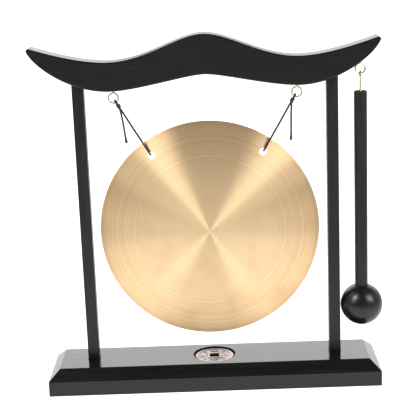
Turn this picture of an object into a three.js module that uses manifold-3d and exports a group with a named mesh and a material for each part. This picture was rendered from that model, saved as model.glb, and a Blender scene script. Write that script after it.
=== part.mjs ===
// Desktop tam tam gong: a lacquered wooden stand, a domed brass disc hung on two cords
// from screw eyes, and a ball-headed mallet hung from a third eye at the beam's end.
// Millimetres, +Z up, front towards -Y. Origin: centre of the base board's underside.
import * as THREE from 'three';
import { mergeVertices } from 'three/addons/utils/BufferGeometryUtils.js';
import Module from 'manifold-3d';

const wasm = await Module();
wasm.setup();

// --- driving dimensions -------------------------------------------------------------
const fitGap = 0.3; // between pieces that touch

const gongRadius = 75;
const gongThickness = 1;
const gongDome = 7; // how far the middle bulges to the front
const holeRadius = 2.5;
const holeInset = 10; // hole centre in from the rim
const holeAngle = 54.5; // degrees above the horizontal

const baseDepth = 53;
const baseHeight = 17.4;
const baseOverhang = 25.7; // base end beyond a post's outer face
const chamferRun = 7.5;
const chamferDrop = 7;

const postWidth = 7.8;
const postEdge = 0.5; // rounded long edges
const postSideGap = 5.5; // gong rim to a post's inner face
const postSocket = 4; // foot let into the base
const postRoof = 8; // wood left above a post's top in the beam

const gongClearance = 15.1; // under the gong's rim
const hangLength = 46.3; // hole centre to the centre of the eye's ring
const hangSlope = 59.7; // degrees, of the strands

const beamThickness = 17;
const beamEdge = 1; // rounded edges of both faces
const beamTipOverhang = 32; // tip beyond a post's centre line
const beamTroughOffset = 2; // lowest point outboard of an eye
const beamCrestTop = 35.9; // heights above the beam's lowest point
const beamCrestUnder = 9.3;
const beamTroughTop = 19.4;
const beamTipTop = 30.3;
const beamTipUnder = 28.6;
const beamTipLean = 1.4; // lower corner of the tip beyond its upper one

const eyeWire = 1.2; // diameters
const eyeOuter = 7.8;
const eyeNeck = 1.5; // between the wood and the ring
const eyeShank = 1.6;
const eyeDepth = 9; // screwed into the beam

const hookOuter = 6.2;
const hookShankOut = 7.5; // between the ring and the stick's top
const hookDepth = 10; // screwed into the stick
const hookMouth = 68; // degrees of ring left open beside the shank

const ballRadius = 14.5;
const ballGap = 0.6; // ball to the post's outer face
const ballClearance = 19; // ball above the base
const stickRadius = 4.4;
const stickChamfer = 0.5;
const stickSocket = 10; // stick let into the ball

const coinRadius = 13.25;
const coinThickness = 1.6;
const coinHole = 6.6; // side of the square hole
const coinRim = 1.7;
const coinRelief = 0.3;
const coinBelow = 0.9; // coin's face below the base's top
const coinMargin = 1.35; // recess around the coin

const screwLength = 25;
const screwShank = 3;
const screwHead = 6.4;
const screwHeadDrop = 0.4; // head below the underside
const screwSlot = 0.8;

const cordRadius = 0.7;
const cordKnotRadius = 1.5;
const cordKnotLength = 4.6;
const cordKnotFromEye = 6.9; // knot's middle to the centre of the eye's ring

// The cords' routes, right-hand side; the left-hand strands are these with x reversed.
// Out of the knot in front of the disc, back through the hole, and up behind the disc.
const strandRoute = [
  [57.6, 0, 194.4], [55.4, 0, 190.7], [51.8, 0, 184.5], [47.8, 0, 177.6], [44.2, 0, 171.5],
  [41.2, 0, 166.4], [39.6, 0, 163.6], [38.5, 0.5, 161.7], [38.1, 1.85, 161],
  [38.7, 3.3, 161.1], [39.9, 4.25, 163.1], [41.6, 4.9, 165.8], [43.4, 5.5, 168.7],
  [45.8, 4.9, 173], [49.1, 3.9, 178.7], [52.6, 2.6, 185.1], [55.9, 1.2, 191.2],
  [57.6, 0.3, 194.4],
];
const leftTail = [
  [-57.8, -0.4, 194.8], [-57, -1, 192.4], [-56.1, -1.3, 188.2], [-55.3, -1.3, 182.4],
  [-54.6, -1.2, 176.6], [-53.9, -1.1, 170.6],
];
const rightTail = [
  [57.8, -0.4, 194.8], [57.4, -1, 192.2], [57.1, -1.3, 187.8], [56.9, -1.3, 181.8],
  [56.8, -1.2, 175.2], [56.6, -1.1, 168.8],
];

// --- places worked out from them ----------------------------------------------------
const radians = THREE.MathUtils.degToRad;
const holeCircle = gongRadius - holeInset;
const gongZ = baseHeight + gongClearance + gongRadius;
const holeX = holeCircle * Math.cos(radians(holeAngle));
const holeZ = gongZ + holeCircle * Math.sin(radians(holeAngle));
const rimPlaneY = gongDome / 2; // puts the disc's centre of mass at y = 0
const eyeX = holeX + hangLength * Math.cos(radians(hangSlope));
const eyeZ = holeZ + hangLength * Math.sin(radians(hangSlope));
const postX = gongRadius + postSideGap + postWidth / 2;
const baseLength = 2 * (postX + postWidth / 2 + baseOverhang);
const malletX = postX + postWidth / 2 + ballGap + ballRadius;
const eyeRing = (eyeOuter - eyeWire) / 2;
const hookRing = (hookOuter - eyeWire) / 2;

// --- the beam's outline: four curves for one half, heights above its lowest point -----
const troughX = eyeX + beamTroughOffset;
const tipX = postX + beamTipOverhang;
const v = (x, y) => new THREE.Vector2(x, y);
const topInner = new THREE.CubicBezierCurve(
  v(0, beamCrestTop), v(0.27 * troughX, beamCrestTop),
  v(0.6 * troughX, beamTroughTop), v(troughX, beamTroughTop));
const topOuter = new THREE.CubicBezierCurve(
  v(troughX, beamTroughTop), v(0.69 * troughX + 0.31 * tipX, beamTroughTop),
  v(0.3 * troughX + 0.7 * tipX, 0.45 * beamTroughTop + 0.55 * beamTipTop),
  v(tipX - beamTipLean, beamTipTop));
const underOuter = new THREE.CubicBezierCurve(
  v(tipX, beamTipUnder), v(0.07 * troughX + 0.93 * tipX, 0.63 * beamTipUnder),
  v(0.53 * troughX + 0.47 * tipX, 0), v(troughX, 0));
const underInner = new THREE.CubicBezierCurve(
  v(troughX, 0), v(0.7 * troughX, 0), v(0.19 * troughX, beamCrestUnder), v(0, beamCrestUnder));

// Height of a curve at x, by halving its parameter; x runs one way along each curve.
function heightAt(curve, x) {
  const rising = curve.v3.x > curve.v0.x;
  let low = 0;
  let high = 1;
  for (let i = 0; i < 40; i++) {
    const middle = (low + high) / 2;
    if (curve.getPoint(middle).x < x === rising) low = middle;
    else high = middle;
  }
  return curve.getPoint(low).y;
}
const underAt = (x) => heightAt(x < troughX ? underInner : underOuter, x);
const topAt = (x) => heightAt(x < troughX ? topInner : topOuter, x);
const beamZ = eyeZ + eyeOuter / 2 + eyeNeck - underAt(eyeX);
const malletEyeZ = beamZ + underAt(malletX) - eyeNeck - eyeOuter / 2;
const postTop = beamZ + topAt(postX) - postRoof;
const postFoot = baseHeight - postSocket;

// --- helpers ------------------------------------------------------------------------
function solid(geometry) {
  const plain = geometry.index ? geometry.toNonIndexed() : geometry.clone();
  plain.deleteAttribute('normal');
  plain.deleteAttribute('uv');
  const merged = mergeVertices(plain, 1e-4);
  const mesh = new wasm.Mesh({
    numProp: 3,
    vertProperties: merged.attributes.position.array,
    triVerts: new Uint32Array(merged.index.array),
  });
  return new wasm.Manifold(mesh);
}

function geometryOf(manifold) {
  const mesh = manifold.getMesh();
  const geometry = new THREE.BufferGeometry();
  geometry.setAttribute('position', new THREE.BufferAttribute(mesh.vertProperties, 3));
  geometry.setIndex(new THREE.BufferAttribute(mesh.triVerts, 1));
  return geometry;
}

function joined(geometries) {
  return geometries.map(solid).reduce((whole, piece) => whole.add(piece));
}

function cut(whole, tools) {
  return tools.map(solid).reduce((left, tool) => left.subtract(tool), whole);
}

// A solid of revolution about a vertical axis, from [radius, height] points.
function turned(profile, sides) {
  const points = profile.map(([r, z]) => v(r, z));
  return new THREE.LatheGeometry(points, sides).rotateX(Math.PI / 2);
}

function rod(radius, low, high, sides = 32) {
  return turned([[0, low], [radius, low], [radius, high], [0, high]], sides);
}

function block(width, depth, low, high) {
  return new THREE.BoxGeometry(width, depth, high - low).translate(0, 0, (low + high) / 2);
}

// A rod of the given radius along a curve.
function tube(curve, radius, steps, sides = 8) {
  const section = new THREE.Shape();
  section.absarc(0, 0, radius, 0, 2 * Math.PI);
  const points = section.getSpacedPoints(sides).slice(0, sides);
  return new THREE.ExtrudeGeometry(new THREE.Shape(points), {
    steps, extrudePath: curve, curveSegments: 1, bevelEnabled: false,
  });
}

function smoothCurve(route) {
  const points = route.map((point) => new THREE.Vector3(...point));
  return new THREE.CatmullRomCurve3(points, false, 'centripetal');
}

// --- finishes -----------------------------------------------------------------------
const blackLacquer = () => new THREE.MeshStandardMaterial({
  color: 0x262627, roughness: 0.32, metalness: 0 });
const brushedBrass = () => new THREE.MeshStandardMaterial({
  color: 0xe3c189, roughness: 0.3, metalness: 1 });
const brassWire = () => new THREE.MeshStandardMaterial({
  color: 0xd3b368, roughness: 0.25, metalness: 1 });
const zincSteel = () => new THREE.MeshStandardMaterial({
  color: 0xaeb0b2, roughness: 0.35, metalness: 1 });
const coinAlloy = () => new THREE.MeshStandardMaterial({
  color: 0xc9bcb4, roughness: 0.35, metalness: 1 });
const blackCord = () => new THREE.MeshStandardMaterial({
  color: 0x202021, roughness: 0.8, metalness: 0 });

const gong = new THREE.Group();

function add(name, geometry, material, position = [0, 0, 0], parent = gong) {
  const mesh = new THREE.Mesh(geometry, material);
  mesh.name = name;
  mesh.position.set(...position);
  parent.add(mesh);
  return mesh;
}

// --- base board: two chamfered profiles crossed, so the corners are mitred -------------
function chamferedProfile(length) {
  const half = length / 2;
  return new THREE.Shape([
    v(-half, 0), v(half, 0), v(half, baseHeight - chamferDrop),
    v(half - chamferRun, baseHeight), v(-half + chamferRun, baseHeight),
    v(-half, baseHeight - chamferDrop),
  ]);
}

function baseBoard() {
  const long = new THREE.ExtrudeGeometry(chamferedProfile(baseLength),
    { depth: baseDepth, bevelEnabled: false });
  long.rotateX(Math.PI / 2).translate(0, baseDepth / 2, 0);
  const across = new THREE.ExtrudeGeometry(chamferedProfile(baseDepth),
    { depth: baseLength, bevelEnabled: false });
  across.rotateX(Math.PI / 2).rotateZ(Math.PI / 2).translate(-baseLength / 2, 0, 0);
  const board = solid(long).intersect(solid(across));
  const recessFloor = baseHeight - coinBelow - coinThickness - fitGap;
  const tools = [rod(coinRadius + coinMargin, recessFloor, baseHeight + 1, 48)];
  for (const side of [-1, 1]) {
    const socket = postWidth + 2 * fitGap;
    tools.push(block(socket, socket, postFoot - fitGap, baseHeight + 1)
      .translate(side * postX, 0, 0));
    tools.push(screwForm(fitGap, screwHeadDrop + 1, postFoot).translate(side * postX, 0, 0));
  }
  return geometryOf(cut(board, tools));
}

// --- base screws: countersunk, driven up into the posts' feet ---------------------------
// The screw's outline grown by a gap; below runs on past the underside for a cutting tool.
function screwForm(gap, below, top) {
  const shank = screwShank / 2 + gap;
  const head = screwHead / 2 + gap;
  const low = screwHeadDrop;
  return turned([
    [0, low - below], [head, low - below], [head, low + gap],
    [shank, low + gap + head - shank], [shank, top], [0, top],
  ], 24);
}

function baseScrew() {
  const shank = screwShank / 2;
  const head = screwHead / 2;
  const tip = screwHeadDrop + screwLength;
  const body = solid(turned([
    [0, screwHeadDrop], [head, screwHeadDrop],
    [shank, screwHeadDrop + head - shank], [shank, tip - 2 * shank], [0, tip],
  ], 24));
  const slotLength = 0.65 * screwHead;
  const depth = screwHeadDrop + 0.5 * (head - shank);
  return geometryOf(cut(body, [
    block(slotLength, screwSlot, screwHeadDrop - 1, depth),
    block(screwSlot, slotLength, screwHeadDrop - 1, depth),
  ]));
}

// --- posts: square, with softened long edges and a pilot bore in the foot ---------------
function post() {
  const half = postWidth / 2;
  const flat = half - postEdge;
  const section = new THREE.Shape();
  section.moveTo(-flat, -half);
  section.lineTo(flat, -half);
  section.absarc(flat, -flat, postEdge, -Math.PI / 2, 0);
  section.absarc(flat, flat, postEdge, 0, Math.PI / 2);
  section.absarc(-flat, flat, postEdge, Math.PI / 2, Math.PI);
  section.absarc(-flat, -flat, postEdge, Math.PI, 1.5 * Math.PI);
  const bar = new THREE.ExtrudeGeometry(section,
    { depth: postTop - postFoot, curveSegments: 3, bevelEnabled: false });
  const bore = rod(screwShank / 2 + fitGap, postFoot - 1,
    screwHeadDrop + screwLength + fitGap, 24);
  return geometryOf(cut(solid(bar.translate(0, 0, postFoot)), [bore]));
}

// --- crossbeam: a shaped board with swept-up tips ---------------------------------------
const eyePlaces = [
  ['left_eye_screw', -eyeX, eyeZ],
  ['right_eye_screw', eyeX, eyeZ],
  ['mallet_eye_screw', malletX, malletEyeZ],
];

function beamOutline() {
  const right = [topInner, topOuter, underOuter, underInner];
  const points = right.flatMap((curve) => curve.getPoints(12));
  const left = points.map((point) => v(-point.x, point.y)).reverse();
  const all = [...points, ...left];
  return all.filter((point, i) => point.distanceTo(all[(i + 1) % all.length]) > 0.01);
}

function crossbeam() {
  const board = new THREE.ExtrudeGeometry(new THREE.Shape(beamOutline()), {
    depth: beamThickness - 2 * beamEdge, bevelThickness: beamEdge, bevelSize: beamEdge,
    bevelOffset: -beamEdge, bevelSegments: 2,
  });
  board.rotateX(Math.PI / 2).translate(0, beamThickness / 2 - beamEdge, beamZ);
  const socket = postWidth + 2 * fitGap;
  const tools = [-1, 1].map((side) => block(socket, socket, beamZ - 1, postTop + fitGap)
    .translate(side * postX, 0, 0));
  for (const [, x, z] of eyePlaces) {
    const bore = rod(eyeShank / 2 + fitGap, z, z + eyeOuter / 2 + eyeNeck + eyeDepth + fitGap, 16);
    tools.push(bore.translate(x, 0, 0));
  }
  return geometryOf(cut(solid(board), tools));
}

// --- screw eyes: ring facing the front, its middle at the origin ------------------------
function eyeScrew() {
  const ring = new THREE.TorusGeometry(eyeRing, eyeWire / 2, 8, 30).rotateX(Math.PI / 2);
  const shank = eyeShank / 2;
  const tip = eyeOuter / 2 + eyeNeck + eyeDepth;
  const screw = turned([
    [0, eyeRing], [eyeWire / 2, eyeRing], [shank, eyeOuter / 2 + eyeNeck / 2],
    [shank, tip - 2], [0, tip],
  ], 12);
  return geometryOf(joined([ring, screw]));
}

// --- gong: a thin domed disc; y = dome * ((r / radius)^2 - 1) from its rim's plane --------
function gongDisc() {
  const steps = 5;
  const half = gongThickness / 2;
  const face = [];
  for (let i = 0; i <= steps; i++) {
    const r = gongRadius * (i / steps);
    face.push([r, gongDome * ((r / gongRadius) ** 2 - 1)]);
  }
  const front = face.map(([r, y]) => v(r, y - half));
  const back = face.map(([r, y]) => v(r, y + half)).reverse();
  const disc = new THREE.LatheGeometry([...front, ...back], 72);
  const holes = [-1, 1].map((side) => rod(holeRadius, -gongDome - 2, gongDome + 2, 24)
    .rotateX(Math.PI / 2).translate(side * holeX, 0, holeZ - gongZ));
  return geometryOf(cut(solid(disc), holes));
}

// --- hanging cords: strands through the gong's hole, a knot, a turn round the eye, a tail --
function hangingCord(side, tail) {
  const strand = strandRoute.map(([x, y, z]) => [side * x, y, z]);
  const slope = radians(hangSlope);
  const away = (distance) => [
    side * (eyeX - distance * Math.cos(slope)), 0, eyeZ - distance * Math.sin(slope)];
  const knot = new THREE.SphereGeometry(1, 10, 6)
    .scale(cordKnotLength / 2, cordKnotRadius, cordKnotRadius)
    .rotateY(-side * slope).translate(...away(cordKnotFromEye));
  const turn = new THREE.TorusGeometry(eyeWire / 2 + fitGap + cordRadius, cordRadius, 8, 16)
    .rotateY(-side * slope).translate(...away(eyeRing));
  return geometryOf(joined([
    tube(smoothCurve(strand), cordRadius, 50),
    tube(smoothCurve(tail), cordRadius, 8),
    knot, turn,
  ]));
}

// --- mallet: stick, ball and open screw hook; the group's origin is the ring's middle -----
const hookZ = malletEyeZ - eyeRing + eyeWire + fitGap - hookRing;
const ballZ = baseHeight + ballClearance + ballRadius - hookZ;
const stickTop = -hookOuter / 2 - hookShankOut;
const stickFoot = ballZ + ballRadius - stickSocket;

function malletHook() {
  const start = -Math.PI / 2;
  const sweep = 2 * Math.PI - radians(hookMouth);
  const bend = new THREE.CatmullRomCurve3(Array.from({ length: 25 }, (_, i) => {
    const angle = start - (sweep * i) / 24;
    return new THREE.Vector3(0, hookRing * Math.cos(angle), hookRing * Math.sin(angle));
  }));
  const shank = eyeShank / 2;
  const tip = stickTop - hookDepth;
  const screw = turned([
    [0, tip], [shank, tip + 2], [shank, stickTop + 1],
    [eyeWire / 2, stickTop + 2], [eyeWire / 2, -hookRing], [0, -hookRing],
  ], 12);
  return geometryOf(joined([tube(bend, eyeWire / 2, 24, 10), screw]));
}

function malletStick() {
  const low = stickFoot;
  const stick = solid(turned([
    [0, low], [stickRadius - stickChamfer, low], [stickRadius, low + stickChamfer],
    [stickRadius, stickTop - stickChamfer], [stickRadius - stickChamfer, stickTop],
    [0, stickTop],
  ], 40));
  const bore = rod(eyeShank / 2 + fitGap, stickTop - hookDepth - fitGap, stickTop + 1, 16);
  return geometryOf(cut(stick, [bore]));
}

function malletHead() {
  const ball = solid(new THREE.SphereGeometry(ballRadius, 32, 20).rotateX(Math.PI / 2)
    .translate(0, 0, ballZ));
  const socket = rod(stickRadius + fitGap, stickFoot - fitGap, ballZ + ballRadius + 1, 40);
  return geometryOf(cut(ball, [socket]));
}

// --- inlaid coin: raised rim, square hole with a raised border ----------------------------
function inlaidCoin() {
  const top = baseHeight - coinBelow;
  const low = top - coinThickness;
  const field = top - coinRelief;
  const blank = solid(turned([
    [0, low], [coinRadius, low], [coinRadius, top], [coinRadius - coinRim, top],
    [coinRadius - coinRim - coinRelief, field], [0, field],
  ], 48));
  const border = coinHole + 2 * coinRim;
  const framed = blank.add(solid(block(border, border, low + coinRelief, top)));
  return geometryOf(cut(framed, [block(coinHole, coinHole, low - 1, top + 1)]));
}

// --- assembly -----------------------------------------------------------------------
add('base_board', baseBoard(), blackLacquer());
add('inlaid_coin', inlaidCoin(), coinAlloy());
for (const [name, side] of [['left', -1], ['right', 1]]) {
  add(`${name}_post`, post(), blackLacquer(), [side * postX, 0, 0]);
  add(`${name}_base_screw`, baseScrew(), zincSteel(), [side * postX, 0, 0]);
}
add('crossbeam', crossbeam(), blackLacquer());
for (const [name, x, z] of eyePlaces) {
  add(name, eyeScrew(), brassWire(), [x, 0, z]);
}
add('gong_disc', gongDisc(), brushedBrass(), [0, rimPlaneY, gongZ]);
add('left_cord', hangingCord(-1, leftTail), blackCord());
add('right_cord', hangingCord(1, rightTail), blackCord());

const mallet = new THREE.Group();
mallet.position.set(malletX, 0, hookZ);
gong.add(mallet);
add('mallet_hook', malletHook(), brassWire(), [0, 0, 0], mallet);
add('mallet_stick', malletStick(), blackLacquer(), [0, 0, 0], mallet);
add('mallet_head', malletHead(), blackLacquer(), [0, 0, 0], mallet);

export default gong;
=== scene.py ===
import math

import bmesh
import bpy
import numpy as np
from mathutils import Matrix, Vector


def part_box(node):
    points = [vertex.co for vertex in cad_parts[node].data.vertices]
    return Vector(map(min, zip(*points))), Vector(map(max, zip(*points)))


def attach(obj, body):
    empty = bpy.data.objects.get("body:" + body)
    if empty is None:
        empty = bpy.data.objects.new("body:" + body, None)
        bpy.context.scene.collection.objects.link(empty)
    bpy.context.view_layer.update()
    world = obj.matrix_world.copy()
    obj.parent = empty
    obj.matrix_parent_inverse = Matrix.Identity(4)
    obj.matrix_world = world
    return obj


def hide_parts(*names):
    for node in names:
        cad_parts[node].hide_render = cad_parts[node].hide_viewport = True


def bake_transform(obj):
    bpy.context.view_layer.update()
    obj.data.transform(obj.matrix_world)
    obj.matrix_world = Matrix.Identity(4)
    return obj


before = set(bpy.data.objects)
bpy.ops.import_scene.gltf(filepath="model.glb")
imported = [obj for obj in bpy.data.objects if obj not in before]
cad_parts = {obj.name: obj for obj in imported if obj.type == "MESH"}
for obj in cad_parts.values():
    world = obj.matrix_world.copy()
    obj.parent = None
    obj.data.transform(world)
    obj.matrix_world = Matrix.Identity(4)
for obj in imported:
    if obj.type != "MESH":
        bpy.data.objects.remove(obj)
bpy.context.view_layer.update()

# A desktop gong: lacquered stand, spun brass disc on two cords, ball mallet on a hook.
# Lengths are metres; sizes below are written in millimetres times mm.
mm = 0.001
fitGap = 0.3 * mm  # round a piece let into another
past = 1 * mm  # how far a cutter runs on past the face that it opens


def corners(node):
    low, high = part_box(node)
    return np.array(low), np.array(high)


def middle(node):
    low, high = corners(node)
    return (low + high) / 2


def addObject(name, data):
    made = bpy.data.objects.new(name, data)
    bpy.context.scene.collection.objects.link(made)
    return made


cameraSetup = {
    "target": (-0.8 * mm, 0.0, 122.9 * mm),
    "azimuth": 0.49,  # degrees round from the front
    "elevation": 13.73,
    "roll": 2.13,
    "distance": 794 * mm,
    "lens": 100.8,  # on a 36 mm wide sensor
}


def placeCamera(setup):
    # on a sphere round the target, looking at it, and rolled about the line of sight
    turn, lift, roll = (math.radians(setup[k]) for k in ("azimuth", "elevation", "roll"))
    back = Vector((math.sin(turn) * math.cos(lift), -math.cos(turn) * math.cos(lift), math.sin(lift)))
    side = Vector((0, 0, 1)).cross(back).normalized()
    up = back.cross(side)
    across = side * math.cos(roll) - up * math.sin(roll)
    upright = side * math.sin(roll) + up * math.cos(roll)
    lens = bpy.data.cameras.new("camera")
    lens.lens = setup["lens"]
    lens.sensor_width = 36
    lens.clip_start = 0.01
    camera = addObject("camera", lens)
    place = Matrix((across, upright, back)).transposed().to_4x4()
    place.translation = Vector(setup["target"]) + back * setup["distance"]
    camera.matrix_world = place
    bpy.context.scene.camera = camera


placeCamera(cameraSetup)
print("camera placed")


def allRound(count):
    return np.linspace(0, 2 * np.pi, count, endpoint=False)


def gridShell(points, wrapRows=False, lids=False):
    # quads between neighbours of rows x columns x 3 points, closed round the columns; wrapRows
    # joins the last row to the first, and lids close both ends
    rows, columns = points.shape[:2]
    row, column = np.meshgrid(np.arange(rows if wrapRows else rows - 1), np.arange(columns),
                              indexing="ij")
    nextRow, nextColumn = (row + 1) % rows, (column + 1) % columns
    faces = np.stack([
        row * columns + column, row * columns + nextColumn,
        nextRow * columns + nextColumn, nextRow * columns + column], -1).reshape(-1, 4).tolist()
    if lids:
        first = list(range(columns))
        faces += [first, [(rows - 1) * columns + k for k in first]]
    return points.reshape(-1, 3), faces


def joinShells(shells):
    points, faces, count = [], [], 0
    for some, their in shells:
        points.append(some)
        faces += [[k + count for k in face] for face in their]
        count += len(some)
    return np.vstack(points), faces


def smoothExcept(mesh, angle):
    # smooth shading, broken where faces meet at more than angle degrees
    mesh.shade_smooth()
    mesh.set_sharp_from_angle(angle=math.radians(angle))


def addPiece(name, shell, crease=32):
    # the mesh is welded, and each closed shell has its faces turned outwards
    points, faces = shell
    mesh = bpy.data.meshes.new(name)
    mesh.from_pydata(points.tolist(), [], faces)
    work = bmesh.new()
    work.from_mesh(mesh)
    bmesh.ops.remove_doubles(work, verts=work.verts, dist=1e-7)
    bmesh.ops.dissolve_degenerate(work, edges=work.edges, dist=1e-7)
    bmesh.ops.recalc_face_normals(work, faces=work.faces)
    work.to_mesh(mesh)
    work.free()
    smoothExcept(mesh, crease)
    return addObject(name, mesh)


def carve(piece, cutters, crease):
    # takes the closed shells in cutters out of the piece
    for number, shell in enumerate(cutters):
        tool = addPiece(f"{piece.name}_cutter_{number}", shell)
        cut = piece.modifiers.new("cut", "BOOLEAN")
        cut.operation = "DIFFERENCE"
        cut.solver = "EXACT"
        cut.object = tool
        bpy.context.view_layer.update()
        whole = piece.evaluated_get(bpy.context.evaluated_depsgraph_get())
        made = bpy.data.meshes.new_from_object(whole)
        piece.modifiers.clear()
        old = piece.data
        piece.data = made
        made.name = piece.name
        bpy.data.meshes.remove(old)
        bpy.data.objects.remove(tool)
    smoothExcept(piece.data, crease)


def filleted(line, radius, steps=5, hold=0.08 * mm):
    # an open outline whose inner corners become arcs tangent to both sides; the points `hold`
    # before and after each arc keep the flats flat under smooth shading
    line = np.asarray(line, float)
    made = [line[0]]
    for before, corner, after in zip(line, line[1:], line[2:]):
        inward = (before - corner) / np.linalg.norm(before - corner)
        onward = (after - corner) / np.linalg.norm(after - corner)
        half = math.acos(np.clip(inward @ onward, -1, 1)) / 2
        reach = radius / math.tan(half)
        centre = corner + (inward + onward) / np.linalg.norm(inward + onward) * radius / math.sin(half)
        start, end = corner + inward * reach, corner + onward * reach
        sweep = math.pi - 2 * half
        t = np.linspace(0, 1, steps + 1)[:, None]
        arc = np.sin((1 - t) * sweep) * (start - centre) + np.sin(t * sweep) * (end - centre)
        made += [start + inward * hold, *(centre + arc / math.sin(sweep)), end + onward * hold]
    return np.array(made + [line[-1]])


def roundedLoop(halfX, halfY, radius, steps=5, hold=0.08 * mm):
    # a rectangle with quarter-circle corners; arrays of M sizes give M loops of points
    halfX, halfY, radius, hold = (
        np.atleast_1d(np.asarray(a, float))[:, None, None] for a in (halfX, halfY, radius, hold))
    corner = np.arange(4)[:, None] * np.pi / 2
    angle = corner + np.concatenate([[0], np.linspace(0, np.pi / 2, steps + 1), [np.pi / 2]])
    slide = hold * np.concatenate([[-1], np.zeros(steps + 1), [1]])
    signX = np.array([1, -1, -1, 1])[:, None]
    signY = np.array([1, 1, -1, -1])[:, None]
    x = signX * (halfX - radius) + radius * np.cos(angle) - slide * np.sin(angle)
    y = signY * (halfY - radius) + radius * np.sin(angle) + slide * np.cos(angle)
    return np.stack([x, y], -1).reshape(x.shape[0], -1, 2)


def roundBoard(centre, halfX, halfY, cornerRadius, profile):
    # a profile of (inset, height) carried round a rectangle with rounded corners, lids at both ends
    inset, height = np.asarray(profile, float).T
    loops = roundedLoop(halfX - inset, halfY - inset, cornerRadius)
    heights = np.broadcast_to(height[:, None, None], (*loops.shape[:2], 1))
    return gridShell(np.concatenate([loops, heights], -1) + [centre[0], centre[1], 0], lids=True)


def turned(centre, profile, sides=48, ripple=None):
    # a profile of (radius, height) turned about a vertical axis: x = radius * cos(angle) and
    # y = radius * sin(angle), where ripple(angle, height) may be added to the radius
    radius, height = np.asarray(profile, float).T
    angle = allRound(sides)
    around = np.broadcast_to(radius[:, None], (len(radius), sides)).copy()
    if ripple is not None:
        around += np.where(around > 0, ripple(angle[None, :], height[:, None]), 0)
    points = np.stack([
        centre[0] + around * np.cos(angle), centre[1] + around * np.sin(angle),
        np.broadcast_to(height[:, None], around.shape),
    ], -1)
    return gridShell(points)


def ridge(turns):
    # a saw of sharp crests, one for each whole turn: 1 at the crest and 0 in the root
    part = turns - np.floor(turns)
    return np.clip(1.25 * (1 - np.abs(2 * part - 1)) - 0.1, 0, 1)


def unit(vectors):
    return vectors / np.linalg.norm(vectors, axis=-1, keepdims=True)


def lengthAlong(path):
    return np.concatenate([[0], np.cumsum(np.linalg.norm(np.diff(path, axis=0), axis=1))])


def smoothLine(points, steps=12):
    # centripetal Catmull-Rom: Hermite cubics whose slopes weigh each side by the root of its length
    points = np.asarray(points, float)
    p = np.vstack([2 * points[0] - points[1], points, 2 * points[-1] - points[-2]])
    gap = np.sqrt(np.linalg.norm(np.diff(p, axis=0), axis=1))[:, None]
    rate = np.diff(p, axis=0) / gap
    slope = rate[:-1] + rate[1:] - (p[2:] - p[:-2]) / (gap[:-1] + gap[1:])
    a, b, width = p[1:-2], p[2:-1], gap[1:-1]
    t = np.linspace(0, 1, steps, endpoint=False)[:, None, None]
    line = ((2 * t**3 - 3 * t**2 + 1) * a + (t**3 - 2 * t**2 + t) * width * slope[:-1]
            + (3 * t**2 - 2 * t**3) * b + (t**3 - t**2) * width * slope[1:])
    return np.vstack([line.swapaxes(0, 1).reshape(-1, 3), points[-1:]])


def evenly(path, spacing):
    along = lengthAlong(path)
    stops = np.linspace(0, along[-1], max(2, int(round(along[-1] / spacing)) + 1))
    return np.stack([np.interp(stops, along, path[:, k]) for k in range(3)], -1)


def sweptTube(path, radius, binormal, sides=12, roundness=1.0):
    # circles of the given radius square to the path, their first direction square to binormal too;
    # each end closes in a dome: radius times cos(a), pushed out by roundness times radius times sin(a)
    tangent = unit(np.gradient(path, axis=0))
    radius = np.broadcast_to(np.asarray(radius, float).reshape(len(path), -1), (len(path), sides))
    dome = np.radians([90, 67, 45, 22])[:, None]
    first, last = radius[0].mean() * roundness, radius[-1].mean() * roundness
    path = np.vstack([
        path[0] - tangent[0] * first * np.sin(dome), path,
        path[-1] + tangent[-1] * last * np.sin(dome[::-1])])
    radius = np.vstack([radius[0] * np.cos(dome), radius, radius[-1] * np.cos(dome[::-1])])
    tangent = np.vstack([np.repeat(tangent[:1], 4, 0), tangent, np.repeat(tangent[-1:], 4, 0)])
    side = unit(np.cross(np.broadcast_to(binormal, tangent.shape), tangent))
    other = np.cross(tangent, side)
    angle = allRound(sides)
    spoke = (np.cos(angle)[None, :, None] * side[:, None, :]
             + np.sin(angle)[None, :, None] * other[:, None, :])
    return gridShell(path[:, None, :] + radius[..., None] * spoke)


def hermite(start, startSlope, end, endSlope, steps):
    # a cubic from start to end that leaves and arrives with the given slopes
    t = np.linspace(0, 1, steps)[:, None]
    return ((2 * t**3 - 3 * t**2 + 1) * start + (t**3 - 2 * t**2 + t) * startSlope
            + (3 * t**2 - 2 * t**3) * end + (t**3 - t**2) * endSlope)


def bezier(p0, p1, p2, p3, t):
    t = t[:, None]
    p0, p1, p2, p3 = (np.array(p, float) for p in (p0, p1, p2, p3))
    return (1 - t)**3 * p0 + 3 * (1 - t)**2 * t * p1 + 3 * (1 - t) * t**2 * p2 + t**3 * p3


def colour(code):
    # sRGB hex to linear light
    parts = [int(code[k:k + 2], 16) / 255 for k in (1, 3, 5)]
    return (*(c / 12.92 if c <= 0.04045 else ((c + 0.055) / 1.055)**2.4 for c in parts), 1.0)


def feed(tree, socket, value):
    # a value, or another node's output to link
    if isinstance(value, bpy.types.NodeSocket):
        tree.links.new(value, socket)
    else:
        socket.default_value = value


def addNode(tree, kind, inputs=None, **settings):
    node = tree.nodes.new(kind)
    for key, value in settings.items():
        setattr(node, key, value)
    for key, value in (inputs or {}).items():
        feed(tree, node.inputs[key], value)
    return node


def newMaterial(name):
    material = bpy.data.materials.new(name)
    material.use_nodes = True
    tree = material.node_tree
    shader = tree.nodes["Principled BSDF"]
    place = addNode(tree, "ShaderNodeTexCoord").outputs["Object"]
    return material, tree, shader, place


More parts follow.
